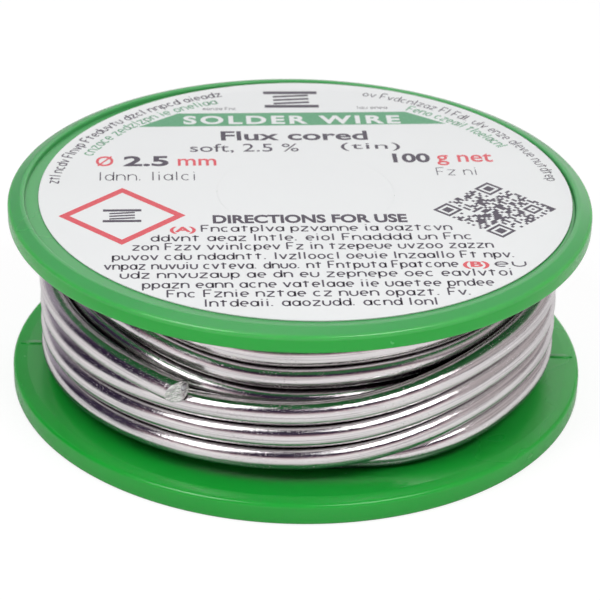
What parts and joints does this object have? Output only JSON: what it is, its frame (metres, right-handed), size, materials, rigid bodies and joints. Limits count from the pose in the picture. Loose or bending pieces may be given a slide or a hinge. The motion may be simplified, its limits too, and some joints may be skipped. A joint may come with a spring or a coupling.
{
  "type": "solder wire spool",
  "caption": "Small moulded spool wound with flux-cored solder wire, with a round label over its bore and a nipped free end that bends away from the coil.",
  "frame": {"origin": "on the spool's axis, on the plane of the bottom rim it stands on", "axes": "+Z along the spool's axis towards the labelled flange, -Y towards the front, where the free end of the wire lies left of centre"},
  "size_m": [0.062, 0.062, 0.022],
  "materials": {
    "green_plastic": "gloss",
    "label_paper": "satin",
    "solder_alloy": "gloss",
    "rosin_flux": "gloss"
  },
  "bodies": {
    "spool": {"spool_body": "green_plastic", "label": "label_paper", "label_centre_disc": "label_paper", "wire_coil": "solder_alloy", "coil_flux_core": "rosin_flux"},
    "wire_end": {"free_end": "solder_alloy", "free_end_flux_core": "rosin_flux"}
  },
  "joints": [
    {"name": "free_end_bend", "type": "hinge", "parent": "spool", "child": "wire_end", "pos_m": [-0.02729, 0.0058, 0.0126], "axis": [0, 0, -1], "range_deg": [0, 60]}
  ]
}
